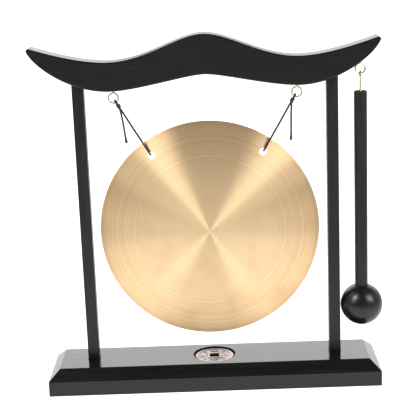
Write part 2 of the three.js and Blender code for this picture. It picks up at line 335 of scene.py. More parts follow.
def stretched(tree, place, size, centre=(0, 0, 0)):
    # coordinates in which one unit is size along each axis, counted from centre
    return addNode(tree, "ShaderNodeVectorMath", {
        0: addNode(tree, "ShaderNodeVectorMath", {0: place, 1: tuple(centre)},
                   operation="SUBTRACT").outputs[0],
        1: tuple(1 / s for s in size)}, operation="MULTIPLY").outputs[0]


def noise(tree, place, size, detail=3.0, roughness=0.55, distortion=0.0):
    # about 0.3 to 0.7, with swells of the given size along each axis
    return addNode(tree, "ShaderNodeTexNoise", {
        "Vector": stretched(tree, place, size), "Scale": 1.0, "Detail": detail,
        "Roughness": roughness, "Distortion": distortion}).outputs["Fac"]


def spread(tree, value, fromLow, fromHigh, toLow, toHigh):
    # a smooth step from toLow to toHigh as value goes from fromLow to fromHigh
    return addNode(tree, "ShaderNodeMapRange", {
        "Value": value, "From Min": fromLow, "From Max": fromHigh,
        "To Min": toLow, "To Max": toHigh}, interpolation_type="SMOOTHSTEP").outputs[0]


def blended(tree, amount, first, second):
    return addNode(tree, "ShaderNodeMix", {"Factor": amount, 6: first, 7: second},
                   data_type="RGBA").outputs[2]


def plus(tree, first, second, operation="ADD"):
    return addNode(tree, "ShaderNodeMath", {0: first, 1: second}, operation=operation).outputs[0]


def setShader(tree, shader, **inputs):
    for key, value in inputs.items():
        feed(tree, shader.inputs[key.replace("_", " ")], value)


def bumped(tree, height, depth, strength):
    return addNode(tree, "ShaderNodeBump", {
        "Height": height, "Distance": depth, "Strength": strength}).outputs["Normal"]


# Beech sprayed with black polyurethane lacquer: a deep black with a satin gloss, in which the
# wood's grain still telegraphs as faint long streaks, with specks of dust under the coat.
lacquer = {
    "deep": "#0B0B0C",
    "lean": "#19191A",  # where the coat lies thin over the grain
    "dust": "#4A4A4B",
    "grainWidth": 1.1 * mm,  # beech rays are 0.2 mm wide; drawn coarser so that they show
    "grainLength": 30 * mm,
    "orangePeel": 2.2 * mm,  # the sprayed coat's slow waves
    "peelHeight": 0.6,  # against the grain's
    "dustSize": 1.6 * mm,
    "grainShade": 0.7,  # how far grain and streaks go towards the lean colour
    "streakShade": 0.3,
}


def lacqueredBeech(name, along, satin, ior, lean=1.0, grainDepth=0.02 * mm):
    # along is the grain's axis, satin the lowest and highest roughness, and lean how thin the coat is
    material, tree, shader, place = newMaterial(name)
    size = [lacquer["grainWidth"]] * 3
    size[along] = lacquer["grainLength"]
    grain = noise(tree, place, size, 4.0, 0.62, 0.35)
    streakSize = [5 * side for side in size]
    streakSize[along] = 2 * size[along]
    streak = noise(tree, place, streakSize, 2.0)
    peel = noise(tree, place, [lacquer["orangePeel"]] * 3, 2.0)
    fleck = addNode(tree, "ShaderNodeTexVoronoi", {
        "Vector": stretched(tree, place, [lacquer["dustSize"]] * 3), "Scale": 1.0}).outputs["Distance"]
    shade = plus(tree, spread(tree, grain, 0.42, 0.72, 0, lacquer["grainShade"] * lean),
                 spread(tree, streak, 0.35, 0.7, 0, lacquer["streakShade"] * lean))
    body = blended(tree, shade, colour(lacquer["deep"]), colour(lacquer["lean"]))
    body = blended(tree, spread(tree, fleck, 0.02, 0.09, 0.5, 0), body, colour(lacquer["dust"]))
    height = plus(tree, grain, plus(tree, peel, lacquer["peelHeight"], "MULTIPLY"))
    setShader(tree, shader, Base_Color=body, IOR=ior,
              Roughness=spread(tree, plus(tree, grain, plus(tree, streak, 0.6, "MULTIPLY")),
                               0.5, 1.1, satin[0], satin[1]),
              Normal=bumped(tree, height, grainDepth, 0.5))
    return material


# Spun brass sheet (CuZn37), turned on a lathe and left unpolished: the tool's fine circular
# grooves spread each light into a spoke across them, and coarser rings show near the rim.
brass = {
    "warm": "#EDC998",
    "pale": "#F6DAB2",
    "toned": "#CDA26B",  # where hands and air have browned it; also used for the painted shade at the rim
    "rough": (0.3, 0.345),
    "across": 1.0,  # anisotropy, rougher across the grooves
    "ringPitch": 2.1 * mm,  # low ridges left by each pass of the tool
    "ringDepth": 0.034 * mm,
    "groovePitch": 0.9 * mm,  # real grooves are 0.1 mm apart; drawn coarser so that they show
    "grooveHeight": 0.25,  # against the rings'
    "bandPitch": 1.5 * mm,  # thin pale lines on browner metal
    "bandTone": 0.26,
    "cloud": 22 * mm,  # faint patches of tarnish
    "cloudTone": 0.22,
    # painted shade: the outermost part of the disc is darkened towards the toned colour
    "rimPaintedShade": 0.35,
}


def spunBrass(centre, radius):
    # everything follows the distance from the disc's axis, and the grooves' direction is square to it
    material, tree, shader, place = newMaterial("spunBrass")
    flat = stretched(tree, place, (1, 1e9, 1), centre)
    away = addNode(tree, "ShaderNodeVectorMath", {0: flat}, operation="LENGTH").outputs["Value"]
    outward = addNode(tree, "ShaderNodeVectorMath", {0: flat}, operation="NORMALIZE").outputs[0]
    outward = addNode(tree, "ShaderNodeVectorTransform", {0: outward}, vector_type="VECTOR",
                      convert_from="OBJECT", convert_to="WORLD").outputs[0]

    def rings(pitch, detail):
        # noise of the radius alone, so it is the same all the way round
        return addNode(tree, "ShaderNodeTexNoise", {
            "W": plus(tree, away, 1 / pitch, "MULTIPLY"), "Scale": 1.0, "Detail": detail},
            noise_dimensions="1D").outputs["Fac"]

    coarse = rings(brass["ringPitch"], 1.0)
    fine = rings(brass["groovePitch"], 3.0)
    band = spread(tree, rings(brass["bandPitch"], 2.0), 0.5, 0.62, brass["bandTone"], 0)
    outerRings = spread(tree, away, 0.25 * radius, radius, 0.25, 1.0)
    outerBands = spread(tree, away, 0.45 * radius, 0.85 * radius, 0.2, 1.0)
    # painted shade, darker towards the rim
    rimPaintedShade = spread(tree, away, 0.94 * radius, radius, 0, brass["rimPaintedShade"])
    cloud = noise(tree, place, [brass["cloud"]] * 3)
    toned = colour(brass["toned"])
    body = blended(tree, spread(tree, fine, 0.3, 0.7, 0.25, 0.75),
                   colour(brass["warm"]), colour(brass["pale"]))
    body = blended(tree, spread(tree, cloud, 0.45, 0.8, 0, brass["cloudTone"]), body, toned)
    body = blended(tree, plus(tree, band, outerBands, "MULTIPLY"), body, toned)
    body = blended(tree, rimPaintedShade, body, toned)
    height = plus(tree, plus(tree, coarse, outerRings, "MULTIPLY"),
                  plus(tree, fine, brass["grooveHeight"], "MULTIPLY"))
    setShader(tree, shader, Base_Color=body, Metallic=1.0, Anisotropic=brass["across"], Tangent=outward,
              Roughness=spread(tree, plus(tree, fine, cloud), 0.7, 1.3, *brass["rough"]),
              Normal=bumped(tree, height, brass["ringDepth"], 0.6))
    return material


# Brass-plated steel wire, drawn and bent cold: bright pale gold with dull spots.
wire = {"bright": "#DDD2AC", "dull": "#938760", "rough": (0.2, 0.36), "spot": 0.8 * mm}


def platedWire():
    material, tree, shader, place = newMaterial("brassPlatedWire")
    spot = noise(tree, place, [wire["spot"]] * 3, 4.0, 0.6)
    body = blended(tree, spread(tree, spot, 0.45, 0.75, 0, 0.7),
                   colour(wire["bright"]), colour(wire["dull"]))
    setShader(tree, shader, Base_Color=body, Metallic=1.0,
              Roughness=spread(tree, spot, 0.3, 0.7, *wire["rough"]),
              Normal=bumped(tree, spot, 0.02 * mm, 0.4))
    return material


# Struck cupronickel: silver with a pink cast, bright on the raised parts and browned in the field.
coinMetal = {"bright": "#978B86", "toned": "#635753", "rough": (0.22, 0.42), "spot": 2.5 * mm}


def struckCupronickel(fieldHeight, faceHeight):
    material, tree, shader, place = newMaterial("struckCupronickel")
    height = addNode(tree, "ShaderNodeSeparateXYZ", {0: place}).outputs[2]
    spot = noise(tree, place, [coinMetal["spot"]] * 3, 4.0, 0.6)
    toned = plus(tree, spread(tree, height, fieldHeight, faceHeight, 0.5, 0.0),
                 spread(tree, spot, 0.4, 0.75, 0, 0.45))
    body = blended(tree, toned, colour(coinMetal["bright"]), colour(coinMetal["toned"]))
    setShader(tree, shader, Base_Color=body, Metallic=1.0,
              Roughness=spread(tree, spot, 0.3, 0.7, *coinMetal["rough"]),
              Normal=bumped(tree, spot, 0.04 * mm, 0.35))
    return material


# Zinc-plated steel wood screw: cool grey with a slightly crystalline bloom.
steel = {"bright": "#C3C6C8", "bloom": "#8B9094", "rough": (0.28, 0.45), "crystal": 0.7 * mm}


def zincSteel():
    material, tree, shader, place = newMaterial("zincPlatedSteel")
    crystal = addNode(tree, "ShaderNodeTexVoronoi", {
        "Vector": stretched(tree, place, [steel["crystal"]] * 3), "Scale": 1.0}).outputs["Distance"]
    body = blended(tree, spread(tree, crystal, 0.1, 0.8, 0, 1),
                   colour(steel["bright"]), colour(steel["bloom"]))
    setShader(tree, shader, Base_Color=body, Metallic=1.0,
              Roughness=spread(tree, crystal, 0.1, 0.8, *steel["rough"]),
              Normal=bumped(tree, crystal, 0.01 * mm, 0.3))
    return material


# Waxed cotton cord, three plies twisted and dyed black: matt, with a soft fuzz on the ridges.
cordFinish = {"dark": "#151516", "worn": "#343436", "fibre": (0.12 * mm, 0.12 * mm, 0.5 * mm)}


def waxedCotton():
    material, tree, shader, place = newMaterial("waxedCottonCord")
    fibre = noise(tree, place, cordFinish["fibre"], 3.0, 0.6)
    body = blended(tree, spread(tree, fibre, 0.4, 0.75, 0, 1),
                   colour(cordFinish["dark"]), colour(cordFinish["worn"]))
    setShader(tree, shader, Base_Color=body, IOR=1.45, Sheen_Weight=0.3, Sheen_Roughness=0.5,
              Roughness=spread(tree, fibre, 0.3, 0.7, 0.62, 0.85),
              Normal=bumped(tree, fibre, 0.04 * mm, 0.6))
    return material


gongCentre = middle("gong_disc")
gongLow, gongHigh = corners("gong_disc")
gongRadius = (gongHigh - gongLow)[2] / 2
coinLow, coinHigh = corners("inlaid_coin")

# the board is polished, the beam and the ball sprayed, and the rods stained and thinly coated
boardFinish = lacqueredBeech("blackLacqueredBoard", 0, (0.1, 0.2), 1.4)
beamFinish = lacqueredBeech("blackLacqueredBeam", 0, (0.2, 0.32), 1.41, 0.6)
postFinish = lacqueredBeech("blackStainedRod", 2, (0.34, 0.5), 1.42, 1.5, 0.05 * mm)
ballFinish = lacqueredBeech("blackLacqueredBall", 2, (0.25, 0.33), 1.46, 0.8)
# end grain soaks the lacquer up and stays dull
endFinish = lacqueredBeech("lacqueredEndGrain", 2, (0.75, 0.9), 1.25)
gongFinish = spunBrass(gongCentre, gongRadius)
wireFinish = platedWire()
screwFinish = zincSteel()
cordMaterial = waxedCotton()
print("materials made")


def finished(piece, material, body, slotName, *nodes):
    piece.data.materials.clear()
    piece.data.materials.append(material)
    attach(piece, body)
    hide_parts(*nodes)


# Screw eyes, bent from brass-plated wire with the thread rolled on.
eyePlan = {
    "wire": 1.2 * mm,
    "shank": 1.6 * mm,
    "outer": 7.8 * mm,
    "neckRise": 1.1 * mm,  # between ring and shank
    "neckTaper": 1.4 * mm,  # in which the shank thins to the wire
    "bend": 2.2 * mm,
    "ringFrom": 58,  # degrees; it ends at ringTo, against the shank
    "ringTo": -262,
    "steps": (90, 72),  # along the shank and round the ring
    "point": 2 * mm,
    "threadPitch": 0.8 * mm,
    "threadDepth": 0.22 * mm,
    "threadPast": 0,  # the start of the taper
}


def bentWire(name, plan, centre, point, sideways, thickTo):
    # A threaded shank from the height of its point to its neck, then a ring round centre in the
    # upright plane along sideways. The thread takes off threadDepth times one minus a saw of sharp
    # crests, which turns once in each pitch and fades out towards the point.
    up = math.copysign(1, point - centre[2])
    sideways, upright = np.array(sideways), np.array([0, 0, 1])
    ring = (plan["outer"] - plan["wire"]) / 2
    angle = np.radians(np.linspace(plan["ringFrom"], plan["ringTo"], plan["steps"][1]))
    circle = centre + ring * (np.cos(angle)[:, None] * sideways + np.sin(angle)[:, None] * upright)
    neck = centre + up * (ring + plan["neckRise"]) * upright
    onward = math.sin(angle[0]) * sideways - math.cos(angle[0]) * upright
    bend = hermite(neck, -up * 1.6 * mm * upright, circle[0], onward * plan["bend"], 10)
    shank = np.linspace([centre[0], 0, point], neck, plan["steps"][0])
    path = np.vstack([shank[:-1], bend[:-1], circle])
    away = np.abs(path[:, 2] - point)
    straight = np.arange(len(path)) < len(shank) - 1
    wide = np.interp(away, [thickTo, thickTo + plan["neckTaper"]], [plan["shank"] / 2, plan["wire"] / 2])
    wide = np.where(straight, wide * np.clip(away / plan["point"], 0.12, 1), plan["wire"] / 2)
    sides = 14
    around = allRound(sides)
    crest = ridge(away[:, None] / plan["threadPitch"] - around / (2 * np.pi))
    groove = plan["threadDepth"] * (1 - crest) * np.clip(away[:, None] / plan["point"], 0.1, 1)
    threaded = straight & (away < thickTo + plan["threadPast"])
    radius = wide[:, None] - np.where(threaded[:, None], groove, 0)
    return addPiece(name, sweptTube(path, radius, 1 - sideways - upright, sides, 0.5), 50)


def eyeScrew(node):
    low, high = corners(node)
    plan = eyePlan
    centre = np.array([middle(node)[0], 0, low[2] + plan["outer"] / 2])
    neck = centre[2] + (plan["outer"] - plan["wire"]) / 2 + plan["neckRise"]
    piece = bentWire(node.replace("_screw", "_screw_bent"), plan, centre, high[2], (1, 0, 0),
                     high[2] - neck - plan["neckTaper"])
    finished(piece, wireFinish, "stand", "brass_wire", node)


# One limp cord on each side: from its free tail up through the eye, through the knot, down in
# front of the disc, back through the hole and up behind to the knot.
cordPlan = {
    "diameter": 1.4 * mm,
    "plies": 3,
    "plyDepth": 0.09 * mm,
    "plyPitch": 2.6 * mm,
    "tailSwell": 0.3 * mm,  # where the tail's end has swollen and been melted
    "tailSwellLength": 2.6 * mm,
    "slope": 59.7,  # degrees, of the strands
    "eyeRing": 3.3 * mm,
    "turnRadius": 1.6 * mm,  # of the turn over the eye's wire
    "knotFromEye": 6.3 * mm,
    "knotLength": 3.6 * mm,
    "knotTurns": 3,
    "knotRadius": 0.86 * mm,  # of the wraps' middle line
    "knotCord": 0.6 * mm,
}

# millimetres, given for the right-hand side; the left-hand strands have x reversed
strandRoute = [
    [57.6, 0, 194.4], [55.4, 0, 190.7], [51.8, 0, 184.5], [47.8, 0, 177.6], [44.2, 0, 171.5],
    [41.2, 0, 166.4], [39.6, 0, 163.6], [38.5, 0.5, 161.7], [38.1, 1.85, 161],
    [38.7, 3.3, 161.1], [39.9, 4.25, 163.1], [41.6, 4.9, 165.8], [43.4, 5.5, 168.7],
    [45.8, 4.9, 173], [49.1, 3.9, 178.7], [52.6, 2.6, 185.1], [55.9, 1.2, 191.2],
    [57.6, 0.3, 194.4],
]
leftTail = [
    [-57.8, -0.4, 194.8], [-57, -1, 192.4], [-56.1, -1.3, 188.2], [-55.3, -1.3, 182.4],
    [-54.6, -1.2, 176.6], [-53.9, -1.1, 170.6],
]
rightTail = [
    [57.8, -0.4, 194.8], [57.4, -1, 192.2], [57.1, -1.3, 187.8], [56.9, -1.3, 181.8],
    [56.8, -1.2, 175.2], [56.6, -1.1, 168.8],
]


def hangingCord(name, side, tail, eye):
    slope = math.radians(cordPlan["slope"])
    down = np.array([-side * math.cos(slope), 0, -math.sin(slope)])
    eyeCentre = np.array([middle(eye)[0], 0, corners(eye)[0][2] + eyePlan["outer"] / 2])

    def near(along, depth):
        return eyeCentre + down * along + [0, depth, 0]

    # the turn over the wire: part of a circle round it, from the front to the back, with points
    # given before and after it
    angle = np.radians([0, 45, 90, 135, 180])
    over = [near(cordPlan["eyeRing"] - cordPlan["turnRadius"] * math.sin(a),
                 -cordPlan["turnRadius"] * math.cos(a)) for a in angle]
    over = [near(5.6 * mm, -0.9 * mm), near(4.4 * mm, -1.5 * mm), *over,
            near(4.4 * mm, 1.45 * mm), near(5.6 * mm, 0.75 * mm)]
    strand = np.array(strandRoute) * [side, 1, 1] * mm
    route = np.vstack([np.array(tail[::-1]) * mm, over, strand])
    path = evenly(smoothLine(route), 0.4 * mm)
    length = lengthAlong(path)

    # plies: the radius rises and falls three times round, and turns once in each pitch
    sides = 18
    around = allRound(sides)
    ply = np.cos(cordPlan["plies"] * (around[None, :] - 2 * np.pi / cordPlan["plies"]
                                      * length[:, None] / cordPlan["plyPitch"]))
    radius = cordPlan["diameter"] / 2 + cordPlan["plyDepth"] * (ply - 1) / 2
    swell = cordPlan["tailSwell"] * np.exp(-(length[:, None] / cordPlan["tailSwellLength"])**2)
    across = np.array([side * math.sin(slope), 0, -math.cos(slope)])
    shells = [sweptTube(path, radius + swell, across, sides, 0.8)]

    # wraps of the knot: a helix round the strands
    steps = 60
    turns = np.linspace(0, cordPlan["knotTurns"], steps)[:, None]
    spin = 2 * np.pi * turns
    wraps = (near(cordPlan["knotFromEye"], 0) + down * (turns / cordPlan["knotTurns"] - 0.5)
             * (cordPlan["knotLength"] - 2 * cordPlan["knotCord"])
             + cordPlan["knotRadius"] * (np.cos(spin) * across + np.sin(spin) * np.array([0, 1, 0])))
    shells.append(sweptTube(wraps, np.full(steps, cordPlan["knotCord"]), down, 10))
    piece = addPiece(name, joinShells(shells), 60)
    piece.data.materials.append(cordMaterial)
    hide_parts(name.replace("_strands", ""))
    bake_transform(piece)
    print(name, "is", round(length[-1] / mm, 1), "mm long")


hangingCord("left_cord_strands", -1, leftTail, "left_eye_screw")
hangingCord("right_cord_strands", 1, rightTail, "right_eye_screw")
print("cords made")


boardPlan = {
    "chamferRun": 7.5 * mm,
    "chamferDrop": 7 * mm,
    "edge": 0.5 * mm,
    "corner": 0.6 * mm,
    "coinMargin": 1.35 * mm,  # of recess round the coin
    "lipFlare": 0.25 * mm,
    "screwHead": 6.4 * mm,
    "screwShank": 3 * mm,
}
postPlan = {"edge": 0.5 * mm, "arris": 0.3 * mm}


def bore(centre, radius, floor, top, sides):
    return turned(centre, [[0, floor], [radius, floor], [radius, top], [0, top]], sides)


def postSocket(side, floor, top):
    # the room that a post takes, gap and all
    low, high = corners(f"{side}_post")
    half = (high[0] - low[0]) / 2 + fitGap
    return roundBoard(((low[0] + high[0]) / 2, 0), half, half, postPlan["edge"],
                      [[0, floor], [0, top]])


def baseBoard():
    # a profile of wall, chamfer and top carried round a rectangle, then the recess, sockets and bores
    low, high = corners("base_board")
    run, drop = boardPlan["chamferRun"], boardPlan["chamferDrop"]
    profile = filleted([[2 * mm, 0], [0, 0], [0, high[2] - drop], [run, high[2]],
                        [run + 2 * mm, high[2]]], boardPlan["edge"])
    board = addPiece("base_board_lacquered",
                     roundBoard((0, 0), high[0], high[1], boardPlan["corner"], profile), 20)
    floor = coinLow[2] - fitGap
    recess = coinHigh[0] + boardPlan["coinMargin"]
    flare = boardPlan["lipFlare"]
    tools = [turned((0, 0), [[0, floor], [recess, floor], [recess, high[2] - flare],
                             [recess + flare * 0.3, high[2] - flare * 0.3], [recess + flare, high[2]],
                             [recess + 2 * flare, high[2] + past], [0, high[2] + past]], 96)]
    for side in ("left", "right"):
        foot = corners(f"{side}_post")[0][2]
        tools.append(postSocket(side, foot - fitGap, high[2] + past))
        # the countersunk screw's outline grown by the gap and run on below its head
        x, under = middle(f"{side}_post")[0], corners(f"{side}_base_screw")[0][2]
        shank, head = boardPlan["screwShank"] / 2 + fitGap, boardPlan["screwHead"] / 2 + fitGap
        tools.append(turned((x, 0), [
            [0, -past], [head, -past], [head, under + fitGap],
            [shank, under + fitGap + head - shank], [shank, foot], [0, foot]], 40))
    carve(board, tools, 20)
    finished(board, boardFinish, "stand", "lacquered_wood", "base_board")


def post(side):
    # a square bar with rounded long edges and broken ends, bored for the base screw
    low, high = corners(f"{side}_post")
    half = (high[0] - low[0]) / 2
    x = (low[0] + high[0]) / 2
    arris = postPlan["arris"]
    profile = [[arris, low[2]], [0, low[2] + arris], [0, low[2] + 2 * arris],
               [0, high[2] - 2 * arris], [0, high[2] - arris], [arris, high[2]]]
    bar = addPiece(f"{side}_post_stained",
                   roundBoard((x, 0), half, half, postPlan["edge"], profile), 25)
    screwHigh = corners(f"{side}_base_screw")[1][2]
    carve(bar, [bore((x, 0), boardPlan["screwShank"] / 2 + fitGap, low[2] - past,
                     screwHigh + fitGap, 32)], 25)
    finished(bar, postFinish, "stand", "lacquered_wood", f"{side}_post")


screwPlan = {
    "pitch": 1.3 * mm,
    "threadDepth": 0.35 * mm,
    "point": 3 * mm,
    "plainNeck": 3 * mm,  # under the head
    "headBevel": (0.3 * mm, 0.15 * mm),
    "slot": 0.8 * mm,
    "slotLength": 4.2 * mm,
    "slotDepth": 0.9 * mm,
}


def baseScrew(side):
    # a head, cone, shank and point turned round the screw's axis, with a thread and a cross slot
    plan = screwPlan
    low, high = corners(f"{side}_base_screw")
    x = (low[0] + high[0]) / 2
    head, shank = boardPlan["screwHead"] / 2, boardPlan["screwShank"] / 2
    top, cone, point = high[2], low[2] + head - shank, plan["point"]
    bevelRun, bevelRise = plan["headBevel"]
    heights = np.linspace(cone + 0.5 * mm, top - point, 150)
    taper = np.linspace(top - point, top, 12)
    radii = np.concatenate([np.full(len(heights), shank), shank * (top - taper) / point])
    profile = np.vstack([
        [[0, low[2]], [head - bevelRun, low[2]], [head, low[2] + bevelRise], [shank, cone]],
        np.stack([radii, np.concatenate([heights, taper])], -1)])

    def thread(angle, height):
        # cut below the shank's full radius, one turn for each pitch
        inside = (height > cone + plan["plainNeck"]) & (height < top - 0.3 * mm)
        return np.where(inside, -plan["threadDepth"]
                        * (1 - ridge(height / plan["pitch"] - angle / (2 * np.pi)))
                        * np.clip((top - height) / point, 0, 1), 0)

    screw = addPiece(f"{side}_base_screw_threaded", turned((x, 0), profile, 28, thread), 40)
    deep = low[2] + plan["slotDepth"]
    wide, long = plan["slot"] / 2, plan["slotLength"] / 2
    slots = [roundBoard((x, 0), a, b, 0.15 * mm, [[0, low[2] - past], [0, deep - 0.3 * mm],
                                                  [0.25 * mm, deep]])
             for a, b in ((wide, long), (long, wide))]
    carve(screw, slots, 40)
    finished(screw, screwFinish, "stand", "screw_steel", f"{side}_base_screw")


# The crossbeam's outline: four Bezier curves for one half, heights above its lowest point.
beamPlan = {
    "crestTop": 35.9 * mm,
    "crestUnder": 9.3 * mm,
    "troughTop": 19.4 * mm,
    "troughOffset": 2 * mm,  # lowest point outboard of an eye
    "tipTop": 30.3 * mm,
    "tipUnder": 28.6 * mm,
    "tipLean": 1.4 * mm,
    "tipRound": 0.6 * mm,
    "edge": 1 * mm,
    "stations": 64,  # along each curve
}


def crossbeam():
    low, high = corners("crossbeam")
    plan = beamPlan
    trough = middle("right_eye_screw")[0] + plan["troughOffset"]
    tip = high[0]
    t = np.linspace(0, 1, plan["stations"])
    turn = np.radians(np.linspace(0, 90, 7))
    # the last stations close up like a quarter circle, which rounds the tip
    outer = np.concatenate([t[1:-2], 1 - 0.012 * (1 - np.sin(turn))])
    inset = np.concatenate([np.zeros(2 * len(t) - 3), plan["tipRound"] * (1 - np.cos(turn))])
    top = np.vstack([
        bezier((0, plan["crestTop"]), (0.27 * trough, plan["crestTop"]),
               (0.6 * trough, plan["troughTop"]), (trough, plan["troughTop"]), t),
        bezier((trough, plan["troughTop"]), (0.69 * trough + 0.31 * tip, plan["troughTop"]),
               (0.3 * trough + 0.7 * tip, 0.45 * plan["troughTop"] + 0.55 * plan["tipTop"]),
               (tip - plan["tipLean"], plan["tipTop"]), outer)])
    under = np.vstack([
        bezier((trough, 0), (0.7 * trough, 0), (0.19 * trough, plan["crestUnder"]),
               (0, plan["crestUnder"]), 1 - t),
        bezier((tip, plan["tipUnder"]), (0.07 * trough + 0.93 * tip, 0.63 * plan["tipUnder"]),
               (0.53 * trough + 0.47 * tip, 0), (trough, 0), 1 - outer)])
    top = np.vstack([top[:0:-1] * [-1, 1], top])
    under = np.vstack([under[:0:-1] * [-1, 1], under])
    inset = np.concatenate([inset[:0:-1], inset])
    # each station is a rounded rectangle standing on the underside and reaching the top
    rise = top - under
    height = np.linalg.norm(rise, axis=1)
    half = height / 2 - inset
    edge = np.minimum(plan["edge"], 0.8 * half)
    loops = roundedLoop(high[1] - inset, half, edge, 6, np.minimum(0.1 * mm, (half - edge) / 3))
    centre, direction = (top + under) / 2, rise / height[:, None]
    across, upward = loops[..., 0], loops[..., 1]
    points = np.stack([
        centre[:, None, 0] + upward * direction[:, None, 0], across,
        low[2] + centre[:, None, 1] + upward * direction[:, None, 1]], -1)
    beam = addPiece("crossbeam_lacquered", gridShell(points, lids=True), 30)
    tools = []
    for side in ("left", "right"):
        tools.append(postSocket(side, low[2] - past, corners(f"{side}_post")[1][2] + fitGap))
    for node in ("left_eye_screw", "right_eye_screw", "mallet_eye_screw"):
        eyeLow, eyeHigh = corners(node)
        tools.append(bore((middle(node)[0], 0), eyePlan["shank"] / 2 + fitGap,
                          eyeLow[2] + eyePlan["outer"] / 2, eyeHigh[2] + fitGap, 24))
    carve(beam, tools, 30)
    finished(beam, beamFinish, "stand", "lacquered_wood", "crossbeam")


coinPlan = {
    "hole": 6.6 * mm,
    "rim": 1.7 * mm,
    "relief": 0.3 * mm,
    "soften": 0.3 * mm,  # width of a raised part's worn edge
    "leafRing": 8.1 * mm,
    "leafHalf": 2.7 * mm,
    "leafBulge": 1.15 * mm,
    "leafEdge": 0.35 * mm,
    "vein": 0.16 * mm,
    "beadRing": 9.3 * mm,
    "bead": 0.75 * mm,
}


def softStep(values, edge, width):
    # 0 below the edge and 1 above it, with a cubic across the width between
    t = np.clip((values - edge) / width + 0.5, 0, 1)
    return t * t * (3 - 2 * t)


def inlaidCoin():
    # rows run from the square hole to the round rim, down the wall and back underneath to the hole
    plan, radius = coinPlan, coinHigh[0]
    angle = allRound(192)
    cosine, sine = np.cos(angle), np.sin(angle)
    inner = plan["hole"] / 2 / np.maximum(np.abs(cosine), np.abs(sine))
    share = np.linspace(0, 1, 90)[:, None]
    away = inner + share * (radius - inner)
    x, y = away * cosine, away * sine
    rim = softStep(away, radius - plan["rim"], plan["soften"])
    border = softStep(-np.maximum(np.abs(x), np.abs(y)), -plan["hole"] / 2 - plan["rim"], plan["soften"])
    # four leaves, one on each side: half as wide as a parabola of the distance from their middle,
    # with a vein down each
    along = np.minimum(np.abs(x), np.abs(y))
    aside = np.abs(np.maximum(np.abs(x), np.abs(y)) - plan["leafRing"])
    wide = plan["leafBulge"] * (1 - np.clip(along / plan["leafHalf"], 0, 1)**2)
    leaf = softStep(wide - aside, 0, plan["leafEdge"]) * (along < plan["leafHalf"])
    leaf *= 1 - 0.6 * softStep(-aside, -plan["vein"], 0.2 * mm)
    # and a bead on each diagonal
    corner = plan["beadRing"] / math.sqrt(2)
    bead = softStep(-np.hypot(np.abs(x) - corner, np.abs(y) - corner), -plan["bead"], 0.4 * mm)
    face = coinHigh[2] - plan["relief"] * (1 - np.maximum.reduce([rim, border, leaf, bead]))
    face[-1] -= 0.08 * mm
    top = np.stack([x, y, face], -1)

    def ringAt(part, height):
        reachOut = inner + part * (radius - inner)
        return np.stack([reachOut * cosine, reachOut * sine, np.full_like(angle, height)], -1)[None]

    points = np.concatenate([
        ringAt(0, coinLow[2] + 0.1 * mm), ringAt(0, coinHigh[2] - 0.1 * mm), top[1:],
        ringAt(1, coinLow[2] + 0.15 * mm), ringAt(0.98, coinLow[2]), ringAt(0.02, coinLow[2])])
    coin = addPiece("inlaid_coin_struck", gridShell(points, wrapRows=True), 45)
    finish = struckCupronickel(coinHigh[2] - plan["relief"], coinHigh[2])
    finished(coin, finish, "stand", "coin_metal", "inlaid_coin")


baseBoard()
crossbeam()
inlaidCoin()
for side in ("left", "right"):
    post(side)
    baseScrew(side)
for node in ("left_eye_screw", "right_eye_screw", "mallet_eye_screw"):
    eyeScrew(node)
print("stand made")


discPlan = {
    "thickness": 1 * mm,
    "dome": 7 * mm,
    "edge": 0.22 * mm,
    "holeRadius": 2.5 * mm,
    "holeInset": 10 * mm,
    "holeAngle": 54.5,  # degrees above the horizontal
    "holeCutter": 20 * mm,
    "radialSteps": 56,
    "sides": 240,
}


def gongDisc():
    # depth = dome * ((r / radius) squared - 1) from the rim's plane, the back one thickness behind
    plan = discPlan
    rimY = gongHigh[1] - plan["thickness"] / 2
    t = np.linspace(0, 1, plan["radialSteps"])
    r = (gongRadius - 2 * plan["edge"]) * t
    # two fillets and the short wall between them make the rim
    turn = np.radians(np.linspace(0, 90, 5))
    rimR = np.concatenate([gongRadius - plan["edge"] * (1 - np.sin(turn)),
                           gongRadius - plan["edge"] * (1 - np.cos(turn))])
    rimOffset = np.concatenate([-plan["thickness"] / 2 + plan["edge"] * (1 - np.cos(turn)),
                                plan["thickness"] / 2 - plan["edge"] * (1 - np.sin(turn))])
    radius = np.concatenate([r, rimR, r[::-1]])
    offset = np.concatenate([np.full(len(r), -plan["thickness"] / 2), rimOffset,
                             np.full(len(r), plan["thickness"] / 2)])
    depth = rimY + plan["dome"] * ((radius / gongRadius)**2 - 1) + offset
    angle = allRound(plan["sides"])
    points = np.stack([
        radius[:, None] * np.cos(angle), np.broadcast_to(depth[:, None], (len(depth), len(angle))),
        gongCentre[2] + radius[:, None] * np.sin(angle)], -1)
    disc = addPiece("gong_disc_spun", gridShell(points), 30)
    lean = math.radians(plan["holeAngle"])
    away = gongRadius - plan["holeInset"]
    reach = plan["holeCutter"]
    tools = []
    for sign in (-1, 1):
        points, faces = bore((0, 0), plan["holeRadius"], -reach, reach, 48)
        points = points[:, [0, 2, 1]] + [sign * away * math.cos(lean), 0,
                                         gongCentre[2] + away * math.sin(lean)]
        tools.append((points, faces))
    carve(disc, tools, 30)
    finished(disc, gongFinish, "gong", "gong_brass", "gong_disc")


gongDisc()
print("gong made")


malletPlan = {
    **eyePlan,  # the hook is the same wire, bent otherwise
    "outer": 6.2 * mm,
    "neckRise": 1 * mm,
    "neckTaper": 1 * mm,
    "bend": 1.8 * mm,
    "ringFrom": -122,
    "ringTo": -382,  # 68 degrees short of the shank
    "steps": (110, 60),
    "threadPast": 1.6 * mm,
    "shankOut": 1 * mm,  # of the stick, at full thickness
    "stickEdge": 0.5 * mm,
    "socketLip": 0.35 * mm,
}


